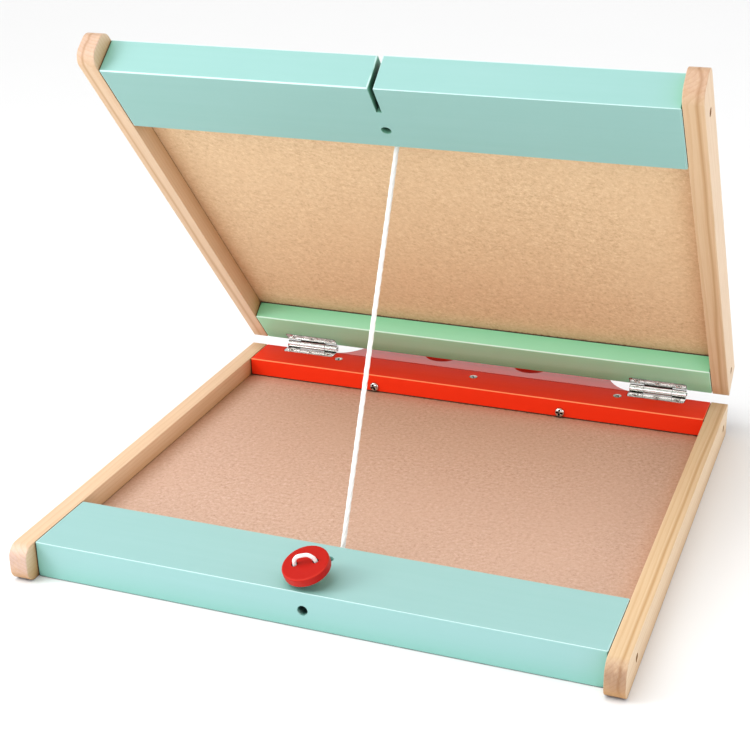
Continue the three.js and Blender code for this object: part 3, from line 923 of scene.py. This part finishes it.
# Each kind of screw, in millimetres: the head's radius, its crown's height, which is 0 for a flat head,
# and the cross's arm length, half width and depth
SCREW_KINDS = {
    "top_screw": (2.7, 0.0, 1.9, 0.5, 1.2),
    "handle_screw": (3.3, 1.8, 2.4, 0.62, 1.9),
    "corner_screw": (2.2, 0.0, 1.4, 0.36, 0.9),
    "hinge_screw": (1.9, 0.35, 1.2, 0.32, 0.7),
}
HEAD_RINGS = 12
HEAD_SIDES = 40
HEAD_LIP = 0.25 * MM
CROWN_POWER = 2.4  # over 2 the crown is flatter than a ball
SHANK_SHARE = 0.5  # of the head's radius
CROSS_TAPER = 0.35  # how much narrower an arm is at its end
CROSS_WALL = (0.8, 1.35)  # where an arm's wall starts and ends, over its half width
CROSS_END = 0.8  # where its end wall starts, over its length
SCREW_SHARP = math.radians(40)
SCREW_SPIN = 0.7  # turns each screw's cross to an angle of its own, in radians


def smooth_step(edge0, edge1, x):
    t = min(max((x - edge0) / (edge1 - edge0), 0.0), 1.0)
    return t * t * (3 - 2 * t)


def cross_depth(x, y, reach, half):
    """1 inside the cross, 0 outside it, falling over its sloping walls."""
    along, across = max(abs(x), abs(y)), min(abs(x), abs(y))
    taper = 1 - CROSS_TAPER * along / reach
    wall_start, wall_end = CROSS_WALL
    between_walls = 1 - smooth_step(half * taper * wall_start, half * taper * wall_end, across)
    return between_walls * (1 - smooth_step(reach * CROSS_END, reach, along))


def screw_axis(node):
    """A screw's tip, the way that its head faces, and its length."""
    points = np.array([v.co for v in nodes[node].data.vertices])
    middle = points.mean(0)
    tip = points[np.argmax(np.linalg.norm(points - middle, axis=1))]
    axis = (middle - tip) / np.linalg.norm(middle - tip)
    reach = (points - tip) @ axis
    return tip, axis, reach.max()


def circle(mesh, radius, z):
    """A ring of vertices round a screw's axis."""
    turns = [2 * math.pi * j / HEAD_SIDES for j in range(HEAD_SIDES)]
    return [mesh.verts.new((radius * math.cos(t), radius * math.sin(t), z)) for t in turns]


def make_screw(node, radius, crown, arm, half, depth):
    """A screw with a cross recess in its head, where the node's own is."""
    tip, axis, reach = screw_axis(node)
    flat = reach - crown * MM  # the head's rim, from the tip
    mesh = bmesh.new()
    rows = []
    for i in range(1, HEAD_RINGS + 1):
        share = i / HEAD_RINGS
        row = []
        for j in range(HEAD_SIDES):
            turn = 2 * math.pi * j / HEAD_SIDES
            x = radius * share * math.cos(turn)
            y = radius * share * math.sin(turn)
            top = crown * math.sqrt(max(0.0, 1 - share**CROWN_POWER))
            low = top - depth * cross_depth(x, y, arm, half)
            row.append(mesh.verts.new((x * MM, y * MM, low * MM)))
        rows.append(row)
    centre = mesh.verts.new((0, 0, (crown - depth) * MM))
    shank = radius * SHANK_SHARE * MM
    below = radius * (1 - SHANK_SHARE) * MM
    rows.append(circle(mesh, radius * MM, -HEAD_LIP))
    rows.append(circle(mesh, shank, -HEAD_LIP - below))
    rows.append(circle(mesh, shank, -flat + shank))
    end = mesh.verts.new((0, 0, -flat))
    for j in range(HEAD_SIDES):
        k = (j + 1) % HEAD_SIDES
        mesh.faces.new((centre, rows[0][j], rows[0][k]))
        mesh.faces.new((end, rows[-1][k], rows[-1][j]))
        for row, following in zip(rows, rows[1:]):
            mesh.faces.new((row[j], following[j], following[k], row[k]))
    turn = Vector((0, 0, 1)).rotation_difference(Vector(axis)).to_matrix()
    spin = Matrix.Rotation(SCREW_SPIN * len(node) * len(bpy.data.objects), 3, "Z")
    place = (turn @ spin).to_4x4()
    place.translation = Vector(tip) + Vector(axis) * flat
    bmesh.ops.transform(mesh, matrix=place, verts=mesh.verts)
    screw = finish_mesh(f"{node}_finished", mesh, node)
    smooth_below(screw, SCREW_SHARP)
    stand_for(screw, node)


KNOT_STEPS = 60
KNOT_SIDES = 12
KNOT_THREAD = 0.34  # thread radius over the knot's
KNOT_HEIGHT = 1.6  # of the trefoil, whose lobes reach 3


def make_knot(node):
    """A pulled-tight overhand knot: a trefoil of cord, squeezed into the node's ball."""
    low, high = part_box(node)
    middle = (low + high) / 2
    size = (high.x - low.x) / 2
    turns = np.linspace(0, 2 * math.pi, KNOT_STEPS, endpoint=False)
    path = np.stack(
        [
            np.sin(turns) + 2 * np.sin(2 * turns),
            np.cos(turns) - 2 * np.cos(2 * turns),
            -KNOT_HEIGHT * np.sin(3 * turns),
        ],
        1,
    )
    path *= size * (1 - KNOT_THREAD) / np.linalg.norm(path, axis=1).max()
    mesh = bmesh.new()
    rings = []
    around = np.linspace(0, 2 * math.pi, KNOT_SIDES, endpoint=False)
    ahead = np.roll(path, -1, 0) - np.roll(path, 1, 0)
    for place, along in zip(path, ahead):
        along = along / np.linalg.norm(along)
        side = np.cross(along, place)
        side /= np.linalg.norm(side)
        out = np.cross(side, along)
        rings.append(
            [
                mesh.verts.new(
                    Vector(
                        place
                        + size
                        * KNOT_THREAD
                        * (math.cos(a) * side + math.sin(a) * out)
                    )
                    + middle
                )
                for a in around
            ]
        )
    for ring, following in zip(rings, rings[1:] + rings[:1]):
        bridge(mesh, ring, following)
    return stand_for(finish_mesh(f"{node}_finished", mesh, node), node)


def make_screws():
    for node in nodes:
        for kind, sizes in SCREW_KINDS.items():
            if kind in node:
                make_screw(node, *sizes)


# ---- Stage --------------------------------------------------------------------------------------


def softbox(name, place, target, width, height, power):
    """A rectangular lamp, sized in metres, with its power in watts."""
    light = bpy.data.lights.new(name, "AREA")
    light.shape = "RECTANGLE"
    light.size = width
    light.size_y = height
    light.energy = power
    obj = bpy.data.objects.new(name, light)
    obj.location = place
    aim = Vector(target) - Vector(place)
    obj.rotation_euler = aim.to_track_quat("-Z", "Y").to_euler()
    bpy.context.scene.collection.objects.link(obj)


# Each softbox: its place, the point it faces, its width, height and power
KEY = ((-0.80, -0.62, 0.62), (0, -0.1, 0.05), 0.5, 0.4, 5)
FILL = ((0.10, -1.45, 0.36), (0, 0.05, 0.15), 0.9, 0.4, 2.9)
SIDE = ((1.35, 0.10, 0.45), (0.1, 0, 0.1), 0.7, 0.5, 4)
SUN_STRENGTH = 1.75
SUN_SPREAD = 60  # degrees across, which keeps its shadows soft
SUN_DIRECTION = (0.35, 0.30, -1.0)

# The studio round the object, by height from the floor (0) to overhead (1): a bright cove, a dim wall and a
# bright ceiling, so that metal has something to mirror
SKY = (
    (0.0, 0.95),
    (0.42, 0.92),
    (0.48, 0.20),
    (0.62, 0.22),
    (0.68, 0.72),
    (1.0, 0.66),
)


def make_sky():
    world = bpy.data.worlds.new("studio")
    bpy.context.scene.world = world
    world.use_nodes = True
    tree = world.node_tree
    way = tree.nodes.new("ShaderNodeTexCoord")
    split = tree.nodes.new("ShaderNodeSeparateXYZ")
    tree.links.new(way.outputs["Generated"], split.inputs[0])
    ramp = tree.nodes.new("ShaderNodeValToRGB")
    tree.links.new(split.outputs["Z"], ramp.inputs[0])
    set_stops(ramp.color_ramp, [(height, (grey, grey, grey)) for height, grey in SKY])
    tree.links.new(ramp.outputs["Color"], tree.nodes["Background"].inputs["Color"])


def make_sun():
    light = bpy.data.lights.new("sun", "SUN")
    light.energy = SUN_STRENGTH
    light.angle = math.radians(SUN_SPREAD)
    obj = bpy.data.objects.new("sun", light)
    obj.rotation_euler = Vector(SUN_DIRECTION).to_track_quat("-Z", "Y").to_euler()
    bpy.context.scene.collection.objects.link(obj)


FLOOR_DARK = (0.825, 0.825, 0.825)
FLOOR_PALE = (0.84, 0.84, 0.84)
FLOOR_SIZE = 30  # metres


def make_stage():
    s = Shader("floor", Roughness=0.9)
    mottle = s.noise(s.place(), 3, detail=2)
    s.link("Base Color", s.mix(s.span(mottle, 0, 1), FLOOR_DARK, FLOOR_PALE))
    bpy.ops.mesh.primitive_plane_add(size=FLOOR_SIZE, location=(0, 0, 0))
    floor = bpy.context.object
    floor.name = "floor"
    floor.data.materials.append(s.material)
    make_sky()
    make_sun()
    softbox("key", *KEY)
    softbox("fill", *FILL)
    softbox("side", *SIDE)
    bpy.context.scene.view_settings.view_transform = "Standard"


make_camera()
make_stay_cord()
make_button_cord()
make_rounded_pieces()
make_screws()
make_stage()
